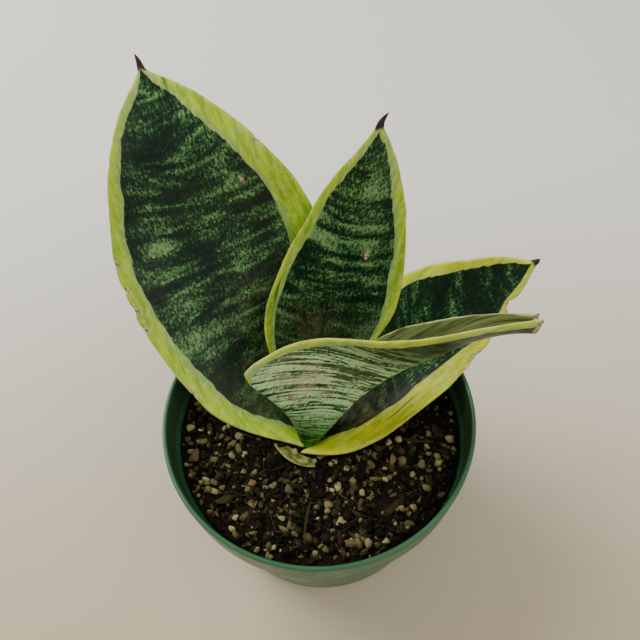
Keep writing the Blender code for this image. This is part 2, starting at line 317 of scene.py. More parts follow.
def snake_leaf_material(name, blade, looks):
    """Waxy living leaf of a variegated snake plant, as it grew.

    Its cuticle gives a satin sheen, its bands are flecks that run along the blade, its margins
    are broad yellow-green stripes, and old wounds have dried to tan callus. It reads leaf_place
    (mm along, mm across, mm from the edge), leaf_marks (spine, callus, mud) and leaf_sides
    (stripe width in mm, 1 on the outer face, greyness).
    """
    made, tree = new_material(name)
    place, marks, sides = (
        add_node(tree, "ShaderNodeAttribute", attribute_name=attribute).outputs["Vector"]
        for attribute in ("leaf_place", "leaf_marks", "leaf_sides")
    )
    value = {}
    for read, names in (
        (place, ("along", "across", "edge")),
        (marks, ("spine", "dried", "muddy")),
        (sides, ("stripe_width", "outer_face", "greyness")),
    ):
        value.update(zip(names, add_node(tree, "ShaderNodeSeparateXYZ", {0: read}).outputs))
    for key, (across_mm, along_mm, detail, shift, distortion) in LEAF_PATTERNS.items():
        scale = (1 / along_mm, 1 / across_mm, 0)
        scaled = add_node(
            tree, "ShaderNodeVectorMath", {0: place, 1: scale, 2: (shift, blade.seed, 0)},
            operation="MULTIPLY_ADD",
        )
        settings = {"Vector": scaled.outputs[0], "Scale": 1, "Detail": detail, "Distortion": distortion}
        value[key] = add_node(tree, "ShaderNodeTexNoise", settings).outputs["Fac"]
    for key, shares in LEAF_SUMS.items():
        total = 0
        for source, share in shares.items():
            total = add_node(tree, inputs={0: value[source], 1: share, 2: total}, **SCALED_SUM).outputs[0]
        value[key] = total
    for key, (source, low, high, to_low, to_high) in leaf_steps(blade).items():
        limits = {0: value[source], 1: low, 2: high, 3: to_low, 4: to_high}
        value[key] = add_node(tree, inputs=limits, **SMOOTH_STEP).outputs[0]
    value["mud"] = add_node(tree, inputs={0: value["muddy"], 1: value["splashes"]}, **PRODUCT).outputs[0]

    inner_stops = (
        (0, looks.dark), (0.36, "#0d2d1b"), (0.56, "#234723"), (0.74, looks.sage), (1, "#7fa66c")
    )
    # The outer face is pale, with thin dark lines that follow the same bands more closely.
    outer_stops = ((0, "#1f4a24"), (0.3, "#3d6a3b"), (0.45, "#a2c68c"), (1, looks.back))
    inner = add_node(tree, "ShaderNodeValToRGB", {0: value["inner_level"]}, inner_stops)
    outer = add_node(tree, "ShaderNodeValToRGB", {0: value["outer_level"]}, outer_stops)
    green_foot = {0: value["foot"], 6: outer.outputs[0], 7: "#4f9648"}
    outer = add_node(tree, inputs=green_foot, blend_type="MULTIPLY", **TINT)
    colour = {"inner": inner.outputs[0], "outer": outer.outputs[2]}
    for key, share, under, over in leaf_coats(blade):
        coat = {0: value[share], 6: colour.get(under, under), 7: colour.get(over, over)}
        colour[key] = add_node(tree, inputs=coat, **TINT).outputs[2]

    # Satin cuticle, duller on mud and callus, with fine ribs along the blade.
    worn = value["mud"]
    for source, share in (("dried", 1), ("fleck", 0.25)):
        worn = add_node(tree, inputs={0: value[source], 1: share, 2: worn}, **SCALED_SUM).outputs[0]
    rough = add_node(tree, inputs={0: worn, 1: 0, 2: 1, 3: 0.36, 4: 0.72}, **SMOOTH_STEP)
    ribs = {"Strength": 0.35, "Distance": 0.25 * MM, "Height": value["relief"]}
    return shaded(made, {
        "Base Color": colour["skin"],
        "Roughness": rough.outputs[0],
        "Normal": add_node(tree, "ShaderNodeBump", ribs).outputs[0],
        "IOR": 1.4,
        "Specular IOR Level": 0.35,
    })


def moulded_plastic_material(looks):
    """Injection-moulded polypropylene: even green, semi-gloss, with the mould's faint orange peel, a film of
    dust and lime, and splashed mix with painted shade that darkens the wall inside the collar."""
    made, tree = new_material("moulded_polypropylene")
    place = add_node(tree, "ShaderNodeTexCoord").outputs["Object"]
    grain = {}
    # Orange peel about 0.8 mm across, scuffs of 1.5 mm and dust clouds of 15 mm.
    for name, width_mm, detail in (("peel", 0.8, 1), ("scuff", 1.5, 4), ("dust", 15, 5)):
        settings = {"Vector": place, "Scale": 1 / (width_mm * MM), "Detail": detail}
        grain[name] = add_node(tree, "ShaderNodeTexNoise", settings).outputs["Fac"]
    cover = add_node(tree, inputs={0: grain["dust"], 1: grain["scuff"]}, **PRODUCT).outputs[0]
    film = add_node(tree, "ShaderNodeMapRange", {0: cover, 1: 0.24, 2: 0.42, 3: 0.0, 4: 0.2})
    filmed = {0: film.outputs[0], 6: paint(looks.plastic), 7: "#56765a"}
    tone = add_node(tree, inputs=filmed, **TINT)
    # Inside the collar the wall is darkened by splashed mix and by painted shade, most at the collar's foot.
    height = add_node(tree, "ShaderNodeSeparateXYZ", {0: place}).outputs[2]
    flat = add_node(tree, "ShaderNodeVectorMath", {0: place, 1: (1, 1, 0)}, operation="MULTIPLY")
    reach = add_node(tree, "ShaderNodeVectorMath", {0: flat.outputs[0]}, operation="LENGTH")
    within = add_node(
        tree, "ShaderNodeMath", {0: reach.outputs["Value"], 1: RIM_RADIUS - 1.35 * MM}, operation="LESS_THAN"
    )
    collar_foot = RIM_HEIGHT - COLLAR_HEIGHT + 1.2 * MM
    above = add_node(tree, "ShaderNodeMath", {0: height, 1: collar_foot}, operation="GREATER_THAN")
    inner_wall = add_node(tree, inputs={0: within.outputs[0], 1: above.outputs[0]}, **PRODUCT)
    wall_ends = {0: height, 1: RIM_HEIGHT - 14 * MM, 2: RIM_HEIGHT - 1 * MM, 3: 0.85, 4: 0.65}
    splash = add_node(tree, "ShaderNodeMapRange", wall_ends)
    share = add_node(tree, inputs={0: inner_wall.outputs[0], 1: splash.outputs[0]}, **PRODUCT)
    # Painted shade and splashed mix: a dark olive over the inner collar wall.
    splash_and_shade_tint = {0: share.outputs[0], 6: tone.outputs[2], 7: "#34402b"}
    tone = add_node(tree, inputs=splash_and_shade_tint, **TINT)
    rough = add_node(tree, "ShaderNodeMapRange", {0: cover, 1: 0.15, 2: 0.4, 3: 0.30, 4: 0.55})
    peel = {"Strength": 0.12, "Distance": 0.1 * MM, "Height": grain["peel"]}
    return shaded(made, {
        "Base Color": tone.outputs[2],
        "Roughness": rough.outputs[0],
        "Normal": add_node(tree, "ShaderNodeBump", peel).outputs[0],
        "IOR": 1.49,
    })


def loose_material(name, stops, rough, patch_mm, relief_mm):
    """A dry or moist loose material: each grain has its own tone, and its surface is mottled."""
    made, tree = new_material(name)
    tone = add_node(tree, "ShaderNodeAttribute", attribute_name="grain_tone").outputs["Fac"]
    place = add_node(tree, "ShaderNodeTexCoord").outputs["Object"]
    patches = {"Vector": place, "Scale": 1 / (patch_mm * MM), "Detail": 4}
    mottle = add_node(tree, "ShaderNodeTexNoise", patches).outputs["Fac"]
    pick = add_node(tree, inputs={0: mottle, 1: 0.45, 2: tone}, **SCALED_SUM)
    moved = add_node(tree, "ShaderNodeMath", {0: pick.outputs[0], 1: 0.22}, operation="SUBTRACT")
    ramp = add_node(tree, "ShaderNodeValToRGB", {0: moved.outputs[0]}, stops)
    shade = add_node(tree, "ShaderNodeMapRange", {0: mottle, 1: 0.3, 2: 0.7, 3: rough, 4: rough + 0.12})
    relief = {"Strength": 0.8, "Distance": relief_mm * MM, "Height": mottle}
    return shaded(made, {
        "Base Color": ramp.outputs[0],
        "Roughness": shade.outputs[0],
        "Normal": add_node(tree, "ShaderNodeBump", relief).outputs[0],
        "Specular IOR Level": 0.15,
    })


def peat_material(looks):
    """Moist peat and composted bark fines: near-black brown, with paler dry fibres on top."""
    stops = ((0, "#060502"), (0.35, "#141006"), (0.7, looks.peat), (1, "#352e1a"))
    return loose_material("moist_peat", stops, rough=0.78, patch_mm=1.4, relief_mm=0.5)


def crumb_material():
    """Broken peat and bark crumbs: from moist black-brown to dry tan where they stick up."""
    stops = ((0, "#0b0903"), (0.35, "#15120a"), (0.6, "#2a2514"), (0.82, "#4a4227"), (1, "#787048"))
    return loose_material("peat_crumbs", stops, rough=0.74, patch_mm=0.9, relief_mm=0.35)


def perlite_material():
    """Expanded volcanic glass, stained by the mix: chalky cream to tan, with a greenish algal tinge."""
    stops = ((0, "#45421f"), (0.3, "#6b6640"), (0.65, "#827b53"), (1, "#aaa076"))
    return loose_material("stained_perlite", stops, rough=0.82, patch_mm=0.7, relief_mm=0.25)


def grit_material():
    """River grit, rounded by water: matt grey-green to brown stone with a fine speckle."""
    stops = ((0, "#34361f"), (0.5, "#5f603a"), (1, "#8b885c"))
    return loose_material("river_grit", stops, rough=0.7, patch_mm=0.6, relief_mm=0.15)


def bark_material(name):
    """Dry bark, chipped or still on its twig: dull brown, dark furrows, a grey weathered skin."""
    stops = ((0, "#0d0b05"), (0.35, "#262011"), (0.7, "#463c22"), (1, "#74663f"))
    return loose_material(name, stops, rough=0.76, patch_mm=1.1, relief_mm=0.4)


def rhizome_material():
    """Corky skin of the rhizome: pale tan with ringed scars about 1.5 mm apart."""
    made, tree = new_material("corky_rhizome")
    place = add_node(tree, "ShaderNodeTexCoord").outputs["Object"]
    spacing = {"Vector": place, "Scale": 0.3 / (1.5 * MM), "Distortion": 3, "Detail": 2}
    rings = add_node(tree, "ShaderNodeTexWave", spacing, bands_direction="Z").outputs["Fac"]
    ramp = add_node(tree, "ShaderNodeValToRGB", {0: rings}, ((0, "#7a5a34"), (1, "#c2a472")))
    ridges = {"Strength": 0.6, "Distance": 0.4 * MM, "Height": rings}
    return shaded(made, {
        "Base Color": ramp.outputs[0],
        "Roughness": 0.75,
        "Normal": add_node(tree, "ShaderNodeBump", ridges).outputs[0],
    })


def floor_material(looks):
    """Seamless matt paper: pale, with a very faint cloudiness, and painted light that makes it paler towards
    the back.
    """
    made, tree = new_material("seamless_paper")
    place = add_node(tree, "ShaderNodeTexCoord").outputs["Object"]
    cloud = add_node(tree, "ShaderNodeTexNoise", {"Vector": place, "Scale": 5, "Detail": 2}).outputs["Fac"]
    back = add_node(tree, "ShaderNodeSeparateXYZ", {0: place}).outputs[1]
    drift = add_node(tree, inputs={0: cloud, 1: 0.08, 2: back}, **SCALED_SUM)
    depth = add_node(tree, inputs={0: drift.outputs[0], 1: -0.06, 2: 0.26}, **SMOOTH_STEP)
    # Painted light: the warm near tone turns to a pale grey towards the back.
    tones = {0: depth.outputs[0], 6: paint(looks.floor), 7: "#eeeeec"}
    tone = add_node(tree, inputs=tones, **TINT)
    return shaded(made, {"Base Color": tone.outputs[2], "Roughness": 0.9})


# ---------------------------------------------------------------- leaves


STRIPE_PLACES = (0, 0.4, 0.7, 1)  # shares of the leaf's length


@dataclass(frozen=True)
class Blade:
    """One leaf: its two margins and midrib from base to tip, in mm from the soil at the crown.

    stripes are the yellow stripe's widths in mm at STRIPE_PLACES, on the left and right margin;
    stripe_fade is how strongly it pales inwards. The crown tone is the inner face's colour at the crown, a
    painted shade.
    A wound is (side, share of the length, half its length in mm, its depth in mm, dryness).
    A mud patch is (share of the length, share across from -1 to 1, radius in mm, strength).
    A scar is (share of the length, share across, half its width in mm, half its length in mm).
    """

    node: str
    left: tuple
    midrib: tuple
    right: tuple
    crease: float = 2.0
    stripes: tuple = ((5, 6, 5, 2), (5, 6, 5, 2))
    stripe_light: str = "#b8dd20"
    stripe_deep: str = "#8ab32a"
    stripe_fade: float = 0.9
    # Painted shade on the inner face at the crown
    crown_shade_tone: str = "#16250c"
    wounds: tuple = ()
    mud: tuple = ()
    scars: tuple = ()
    spine_mm: float = 0.0
    cut_tip: bool = False
    radial: bool = False
    far_half_grey: float = 0.0
    sage_share: float = 0.0
    thickness_share: float = 1.0
    spine_lean: tuple = (0, 0, 0)
    cusp: tuple = ()
    slot: str = "live_leaf"
    seed: int = 0


BLADES = (
    Blade(
        "leaf_left_large",
        left=((-5.6, -6.6, -1.4), (-28.5, -1.8, 5), (-42, 6, 14), (-53, 18, 26), (-61, 30, 44),
              (-61, 42, 65), (-57, 55, 82), (-48.4, 71, 93.6)),
        midrib=((-7, -1, -5), (-19, 12, 7), (-23, 23, 19), (-26, 31, 31), (-31, 42, 46),
                (-37, 51, 62), (-42, 58, 79), (-47.2, 71.8, 94.4)),
        right=((-3, 6, -5), (-2, 25, 12), (1, 35, 27), (4, 40, 44), (1, 43, 64),
               (-8, 47, 79), (-26, 61, 89), (-46, 71.2, 94.4)),
        spine_mm=4.6,
        spine_lean=(-0.5, 0, 0.3),
        sage_share=0.0,
        stripes=((7, 6.5, 4, 1.5), (7, 12, 9, 0.8)),
        # Painted shade at the crown, lighter on this leaf
        crown_shade_tone="#2c3b20",
        wounds=(("left", 0.28, 3.5, 0.3, 0.6), ("left", 0.43, 1.4, 0.5, 1.0),
                ("left", 0.475, 1.7, 0.8, 1.0), ("left", 0.52, 1.3, 0.5, 1.0),
                ("left", 0.575, 1.4, 0.3, 0.7), ("left", 0.76, 1.0, 0.3, 0.6),
                ("right", 0.72, 1.2, 0.3, 0.8)),
        mud=((0.36, 0.25, 12, 0.5), (0.66, -0.1, 6, 0.2), (0.18, 0.0, 10, 0.5)),
        scars=((0.67, 0.62, 0.3, 1.0),),
        seed=3,
    ),
    Blade(
        "leaf_centre",
        left=((-5, 4, -3), (-15, 16, 20), (-15, 26, 37), (-5, 34, 57), (5, 40, 73),
              (13.6, 42.7, 82.5), (20.2, 46.4, 88)),
        midrib=((2, 8, -3), (2, 15, 12), (5, 28, 27), (10, 36, 46), (15, 41, 65),
                (18.8, 43.8, 79), (21.3, 47.2, 88)),
        right=((8, 3, -3), (19, 18, 20), (27, 24, 33), (30, 33, 50), (29, 39, 68),
               (26, 44.8, 80.5), (22.6, 46.9, 88)),
        spine_mm=4.2,
        spine_lean=(1.6, 0, 0),
        sage_share=0.04,
        stripes=((3.5, 4, 3, 1.2), (4, 4.8, 4, 1.2)),
        scars=((0.56, 0.42, 0.8, 2.2),),
        mud=((0.30, -0.3, 9, 0.8), (0.22, 0.4, 9, 0.6)),
        seed=8,
    ),
    Blade(
        "leaf_front_folded",
        left=((2, -2, -4), (6, 6, 12), (12, 11, 24), (22, 12, 36), (33, 8, 47.5),
              (44, 3, 57), (51.5, -2, 64), (58.5, -6, 68.5)),
        midrib=((-4, -5.5, -4), (-0.5, -5, 3), (6, -3, 13), (16, 0, 25), (29, 0, 38),
                (42, -2, 51), (51, -5.5, 60), (58, -8.5, 64)),
        right=((-6, -4.5, -4), (-13, 0, 20), (-21, 1, 34), (-4, 3, 48), (18, -4, 56),
               (37, -8, 63), (50, -9, 68), (58, -10, 71)),
        crease=1.5,
        stripes=((0.1, 0.2, 0.3, 0.4), (0.6, 2.7, 3.4, 2.4)),
        stripe_light="#cbe23a",
        stripe_deep="#a9c43a",
        radial=True,
        far_half_grey=1.0,
        mud=((0.30, 0.62, 8, 0.75), (0.42, 0.35, 5, 0.4)),
        cusp=(0.286, -1.1, 0.4, 0.3),
        cut_tip=True,
        seed=14,
    ),
    Blade(
        "leaf_right",
        left=((5, 4, -5), (15, 27, 12), (25, 40, 23), (36, 42, 32), (47, 37, 41),
              (58, 33, 47), (68.5, 28, 50)),
        midrib=((3, -3, -5), (12, 4, 2), (26, 14, 6), (38, 22, 16), (49, 26, 26),
                (60, 27, 38), (69.5, 27, 50)),
        right=((-6.8, -8.8, -2.5), (11, -10.8, 1), (30, -3, 7.5), (47, 7, 15), (58, 15, 26),
               (65, 21, 38), (69.5, 25.8, 50)),
        spine_mm=2.2,
        stripes=((3.6, 4.4, 3.6, 1.4), (8, 9, 3.2, 1.2)),
        stripe_light="#dbe314",
        stripe_deep="#b3c016",
        stripe_fade=0.35,
        # Painted shade at the crown, darker on this leaf
        crown_shade_tone="#11190a",
        sage_share=-0.09,
        wounds=(("right", 0.52, 3.0, 0.7, 0.6), ("right", 0.585, 3.0, 1.0, 0.9),
                ("right", 0.69, 2.6, 1.1, 1.0), ("right", 0.81, 3.4, 2.0, 1.0)),
        mud=((0.2, 0.3, 10, 0.6),),
        seed=21,
    ),
)


def natural_curve(points, count):
    """Count points on the natural cubic spline through the given points, evenly in their order."""
    points = np.asarray(points, float)
    last = len(points) - 1
    matrix = np.eye(last + 1)
    right_side = np.zeros_like(points)
    for row in range(1, last):
        matrix[row, row - 1 : row + 2] = (1, 4, 1)
        right_side[row] = 6 * (points[row - 1] - 2 * points[row] + points[row + 1])
    bend = np.linalg.solve(matrix, right_side)
    place = np.linspace(0, last, count)
    start = np.minimum(place.astype(int), last - 1)
    after = (place - start)[:, None]
    before = 1 - after
    return (
        before * points[start]
        + after * points[start + 1]
        + (before**3 - before) * bend[start] / 6
        + (after**3 - after) * bend[start + 1] / 6
    )


def blade_grid(blade, rows, shares):
    """The blade's middle surface in mm, rows along by one column for each share across."""
    left, midrib, right = (
        natural_curve(line, rows)[:, None] for line in (blade.left, blade.midrib, blade.right)
    )
    slope = (right - left) / 2
    hollow = (right + left) / 2 - midrib
    across = shares[:, :, None]
    grid = midrib + slope * across + hollow * np.abs(across) ** blade.crease
    if blade.cusp:  # the one sharp corner of the right margin
        row_share = np.linspace(0, 1, rows)[:, None, None]
        near = np.exp(-np.abs(row_share - blade.cusp[0]) / 0.045) * np.maximum(across, 0) ** 4
        grid = grid + near * np.array(blade.cusp[1:])
    return grid


SPINE_ROWS = 14


def with_spine(blade, grid):
    """Rows beyond the blade's tip that roll it into a round, tapering spine."""
    if not blade.spine_mm:
        return grid
    way = grid[-1].mean(0) - grid[-8].mean(0)
    way = way / np.linalg.norm(way)
    last = grid[-1]
    share = np.linspace(0, 1, SPINE_ROWS + 1)[1:, None, None]
    middle = last.mean(0) + way * blade.spine_mm * share + np.array(blade.spine_lean) * share**2
    spread = (last - last.mean(0)) * (0.04 + 0.96 * (1 - share) ** 0.75)
    return np.concatenate([grid, middle + spread])


def lengths_along(grid):
    """Distance in mm from the first row of each column."""
    steps = np.linalg.norm(np.diff(grid, axis=0), axis=2)
    return np.vstack([np.zeros(grid.shape[1]), np.cumsum(steps, axis=0)])


def margin_change(blade, side, along_mm, seed):
    """How far a margin stands out of its smooth line in mm, and how dry it is, row by row."""
    total = along_mm[-1]
    points = np.stack([along_mm, np.full_like(along_mm, seed), np.zeros_like(along_mm)], 1)
    change = 0.28 * lumps(points, 11, seed) + 0.12 * lumps(points, 3.2, seed + 5)
    change *= soft_step(along_mm, 0, 12) * soft_step(total - along_mm, 4, 16)
    dry = np.zeros_like(along_mm)
    for where, share, half, depth, dryness in blade.wounds:
        if where == side:
            fade = np.exp(-(((along_mm - share * total) / half) ** 2))
            ragged = 1 + 0.5 * lumps(points, 0.9, seed + 9)
            change -= depth * fade * ragged
            dry = np.maximum(dry, dryness * fade)
    return change, dry


def uneven_margins(blade, shares, along_mm, across_mm, half):
    """The shares across with each margin moved in or out, and how dry each point is."""
    dry = np.zeros_like(shares)
    for sign, side in ((-1, "left"), (1, "right")):
        change, dryness = margin_change(blade, side, along_mm, blade.seed + (sign > 0))
        share = np.maximum(change / np.maximum(half[side], 1.0), -0.5)
        own = np.sign(shares) == sign
        stretch = 1 + share[:, None] * np.abs(shares) ** 3
        shares = np.where(own, shares * stretch, shares)
        depth = np.maximum(half[side][:, None] - np.abs(across_mm), 0)
        fade = np.exp(-((depth / 1.9) ** 2))
        dry = np.where(own, np.maximum(dry, dryness[:, None] * fade), dry)
    return shares, dry


def blade_marks(blade, along, across, width, dry, spine_start, flat_points):
    """How far each point is spine, dried callus and mud, each from 0 to 1."""
    length = along[-1, 0]
    spine = np.zeros_like(dry)
    callus = dry
    mud = np.zeros_like(dry)
    if blade.spine_mm:
        spine = spine + soft_step(along, spine_start - 0.9, spine_start + 0.4)
        worn = (spine_start + share * blade.spine_mm for share in (0.62, 0.9))
        callus = np.maximum(callus, 0.7 * soft_step(along, *worn))
    if blade.cut_tip:
        callus = np.maximum(callus, soft_step(along, length - 1.6, length - 0.9))
    for share, side_share, radius, strength in blade.mud:
        near = np.hypot(along - share * length, (across - side_share) * width / 2)
        mud = np.maximum(mud, strength * np.exp(-((near / radius) ** 2)))
    for share, side_share, half_width, half_length in blade.scars:
        long_way = (along - share * length) / half_length
        wide_way = (across - side_share) * width / 2 / half_width
        ragged = 0.5 * lumps(flat_points, 0.8, blade.seed + 4).reshape(dry.shape)
        scar = soft_step(1.3 + ragged - np.hypot(long_way, wide_way), 0, 0.5)
        callus = np.maximum(callus, scar)
    return np.stack([spine, callus, mud], -1)


def shell_faces(rows, columns):
    """Quads of a closed shell: an upper and a lower sheet of points and the strips round them."""
    index = np.arange(rows * columns).reshape(rows, columns)
    a, b, c, d = index[:-1, :-1], index[:-1, 1:], index[1:, 1:], index[1:, :-1]
    quads = [np.stack([a, b, c, d], -1).reshape(-1, 4)]
    quads.append(np.stack([d, c, b, a], -1).reshape(-1, 4) + index.size)
    for line, flip in ((index[:, 0], True), (index[:, -1], False), (index[0], False), (index[-1], True)):
        below = line + index.size
        strip = np.stack([line[:-1], line[1:], below[1:], below[:-1]], -1)
        quads.append(strip if flip else strip[:, ::-1])
    return quads


def build_blade(blade, looks):
    """One leaf as a closed, thick blade with rounded, slightly uneven margins and its spine."""
    body_rows, columns = ((190, 65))
    turn = np.linspace(-math.pi / 2, math.pi / 2, columns)
    across = 0.55 * np.sin(turn) + 0.45 * np.linspace(-1, 1, columns)  # closer at the margins
    plain = with_spine(blade, blade_grid(blade, body_rows, np.tile(across, (body_rows, 1))))
    rows = len(plain)
    middle = columns // 2
    along_mm = lengths_along(plain)[:, middle]
    steps = np.linalg.norm(np.diff(plain, axis=1), axis=2)
    reach = np.hstack([np.zeros((rows, 1)), np.cumsum(steps, axis=1)])
    across_mm = reach - reach[:, middle : middle + 1]
    half = {"left": -across_mm[:, 0], "right": across_mm[:, -1]}
    shares, dry = uneven_margins(blade, np.tile(across, (rows, 1)), along_mm, across_mm, half)
    grid = with_spine(blade, blade_grid(blade, body_rows, shares[:body_rows]))
    normals = np.cross(np.gradient(grid, axis=1), np.gradient(grid, axis=0))
    normals /= np.maximum(np.linalg.norm(normals, axis=2, keepdims=True), 1e-9)

    # The living surface waves a little, less where the blade is narrow.
    along = along_mm[:, None]
    width = (half["left"] + half["right"])[:, None]
    own_layer = np.full(across_mm.size, blade.seed * 7.0)
    flat_points = np.stack([np.repeat(along_mm, columns), across_mm.ravel(), own_layer], 1)
    wave = 0.55 * lumps(flat_points, 16, blade.seed) + 0.16 * lumps(flat_points, 4, blade.seed + 2)
    wave = wave.reshape(rows, -1) * soft_step(width, 4, 20)
    grid = grid + normals * wave[:, :, None]

    # It is thickest along the midrib and at the foot, and its margins are rounded.
    share_along = along / along_mm[-1]
    foot = blade.thickness_share * looks.foot_thickness / MM
    tip = blade.thickness_share * looks.tip_thickness / MM
    edge_mm = np.where(shares < 0, half["left"][:, None], half["right"][:, None]) - np.abs(across_mm)
    edge_mm = np.maximum(edge_mm, 0)
    full = (foot + (tip - foot) * share_along) * (1 - 0.5 * np.abs(across) ** 3)
    full = np.minimum(full, np.maximum(width * 0.75, 0.35))
    round_reach = np.maximum(np.minimum(full * 0.9, width * 0.35), 0.05)
    rounded = np.sqrt(1 - np.clip(1 - edge_mm / round_reach, 0, 1) ** 2 * 0.97)
    offset = normals * (full * rounded)[:, :, None] / 2
    points = np.concatenate([(grid + offset).reshape(-1, 3), (grid - offset).reshape(-1, 3)]) * MM
    points[:, 2] += SOIL_LEVEL

    left_stripe, right_stripe = (np.interp(share_along, STRIPE_PLACES, line) for line in blade.stripes)
    stripe = np.where(shares < 0, left_stripe, right_stripe)
    pattern_along = np.repeat(along, columns, 1)
    if blade.radial:  # bands ring the foot of the blade
        pattern_along = np.linalg.norm(grid - grid[0, middle], axis=2)
    place = np.stack([pattern_along, across_mm, edge_mm], -1)
    marks = blade_marks(blade, along, across, width, dry, along_mm[body_rows - 1], flat_points)
    grey = np.tile(np.clip(-across * 3, 0, 1) * blade.far_half_grey, (rows, 1))
    sides = [
        np.stack([stripe, np.full_like(stripe, outer), grey * (1 - outer)], -1).reshape(-1, 3)
        for outer in (0, 1)
    ]
    numbers = {
        "leaf_place": np.concatenate([place.reshape(-1, 3)] * 2),
        "leaf_marks": np.concatenate([marks.reshape(-1, 3)] * 2),
        "leaf_sides": np.concatenate(sides),
    }
    finish = snake_leaf_material(f"{blade.node}_cuticle", blade, looks)
    faces = shell_faces(rows, columns)
    mesh_object(f"{blade.node}_blade", points, faces, finish, numbers, [blade.node])


SHEATH = Blade(
    "basal_sheath",
    left=((-16.5, -4.5, -1), (-14.4, -8.6, 0.4), (-11.5, -12.2, 1.2), (-7, -14.8, 1.2), (-2, -15.2, 0)),
    midrib=((-15, -4.5, -2), (-12.7, -8, -1), (-10, -10.8, -0.7), (-6.5, -12.9, -0.8), (-2, -13.8, -1.2)),
    right=((-13, -4.5, -2.4), (-10.6, -6.8, -1.7), (-8.2, -8.8, -1.5), (-5.6, -10.4, -1.5), (-2, -11.8, -2)),
    stripes=((30, 30, 30, 30), (30, 30, 30, 30)),
    mud=((0.5, 0.2, 8, 0.5),),
    thickness_share=0.45,
    slot="dried_sheath",
    stripe_light="#66751f",
    stripe_deep="#3d4c15",
    seed=31,
)


# ---------------------------------------------------------------- pot


def wall_radius(height):
    """The body's outside, below the collar."""
    top = RIM_RADIUS - COLLAR_TAPER - COLLAR_STEP
    return FOOT_RADIUS + (top - FOOT_RADIUS) * height / (RIM_HEIGHT - COLLAR_HEIGHT)


def quarter_points(centre, radius, start, end, count):
    """Points on an arc round a (radius, height) centre, between two angles from the outward."""
    turns = np.linspace(start, end, count)
    return [(centre[0] + radius * math.cos(t), centre[1] + radius * math.sin(t)) for t in turns]


def pot_profile():
    """Half section from the middle of the underside, up the outside, and back down the inside."""
    collar_foot = RIM_HEIGHT - COLLAR_HEIGHT
    lip = LIP_THICKNESS / 2
    inside = RIM_RADIUS - COLLAR_TAPER - WALL
    heights = np.linspace(FOOT_ROUND, collar_foot - 0.6 * MM, 12)[1:]
    outer_wall = [(wall_radius(height), height) for height in heights]
    inner_wall = [(wall_radius(height) - WALL, height) for height in heights[::-1]]
    under_foot = [(radius, 0.0) for radius in np.linspace(0, FOOT_RADIUS - FOOT_ROUND, 8)]
    foot = quarter_points((FOOT_RADIUS - FOOT_ROUND, FOOT_ROUND), FOOT_ROUND, -math.pi / 2, 0, 7)[1:]
    collar_low = (RIM_RADIUS - COLLAR_TAPER, collar_foot + 0.5 * MM)
    round_low = quarter_points(
        (collar_low[0] - 0.35 * MM, collar_low[1] + 0.2 * MM), 0.35 * MM, -math.pi / 2, 0, 5
    )
    collar = [
        (RIM_RADIUS - COLLAR_TAPER * (1 - share), collar_foot + 1 * MM + (COLLAR_HEIGHT - 3 * MM) * share)
        for share in np.linspace(0, 1, 5)
    ]
    rim = quarter_points((RIM_RADIUS - lip, RIM_HEIGHT - lip), lip, 0, math.pi, 11)
    inner_collar = [
        (RIM_RADIUS - LIP_THICKNESS - (RIM_RADIUS - LIP_THICKNESS - inside) * share,
         RIM_HEIGHT - 1.5 * MM - (COLLAR_HEIGHT - 3 * MM) * share)
        for share in np.linspace(0, 1, 5)
    ]
    inner_floor = [(radius, FLOOR) for radius in np.linspace(FOOT_RADIUS - FOOT_ROUND - WALL, 0, 8)]
    return [*under_foot, *foot, *outer_wall, *round_low, *collar, *rim, *inner_collar,
            *inner_wall, *inner_floor]


def turned(profile, steps):
    """A closed bmesh turned from a half section that starts and ends on the axis."""
    shape = bmesh.new()
    corners = [shape.verts.new((radius, 0, height)) for radius, height in profile]
    edges = [shape.edges.new(pair) for pair in zip(corners, corners[1:])]
    bmesh.ops.spin(
        shape, geom=corners + edges, cent=(0, 0, 0), axis=(0, 0, 1), angle=math.tau, steps=steps
    )
    bmesh.ops.remove_doubles(shape, verts=shape.verts, dist=0.005 * MM)
    bmesh.ops.recalc_face_normals(shape, faces=shape.faces)
    return shape


def cut_drain_holes(pot):
    """Round holes through the floor, cut at once by one joined cutter."""
    shape = bmesh.new()
    for index in range(DRAIN_HOLES):
        turn = math.tau * (index + 0.5) / DRAIN_HOLES
        middle = Matrix.Translation(
            (DRAIN_CIRCLE * math.cos(turn), DRAIN_CIRCLE * math.sin(turn), FLOOR / 2)
        )
        bmesh.ops.create_cone(
            shape, cap_ends=True, segments=46, radius1=DRAIN_RADIUS, radius2=DRAIN_RADIUS,
            depth=4 * FLOOR, matrix=middle @ Matrix.Rotation(0.37, 4, "Z"),
        )
    mesh = bpy.data.meshes.new("drain_cutter")
    shape.to_mesh(mesh)
    shape.free()
    cutter = bpy.data.objects.new("drain_cutter", mesh)
    bpy.context.scene.collection.objects.link(cutter)
    cut = pot.modifiers.new("drain_holes", "BOOLEAN")
    cut.operation = "DIFFERENCE"
    cut.solver = "EXACT"
    cut.object = cutter
    graph = bpy.context.evaluated_depsgraph_get()
    result = bpy.data.meshes.new_from_object(pot.evaluated_get(graph))
    pot.modifiers.clear()
    pot.data = result
    bpy.data.objects.remove(cutter, do_unlink=True)


# ---------------------------------------------------------------- potting mix


# Hollows in the bed, in mm: x, y, radius of the bottom, radius of the brim, depth
SHEATH_HOLLOW = (-8, -9.5, 3.5, 6.5, 2.2)
CROWN_HOLLOW = (-1, -2.5, 8, 13.5, 3.4)
BED_DROP = 0.5  # mm: how far the mean of the bed lies under the mix's level


def hollow_depth(points, hollow):
    x, y, bottom, brim, depth = hollow
    away = np.hypot(points[:, 0] - x, points[:, 1] - y)
    return depth * (1 - soft_step(away, bottom, brim))


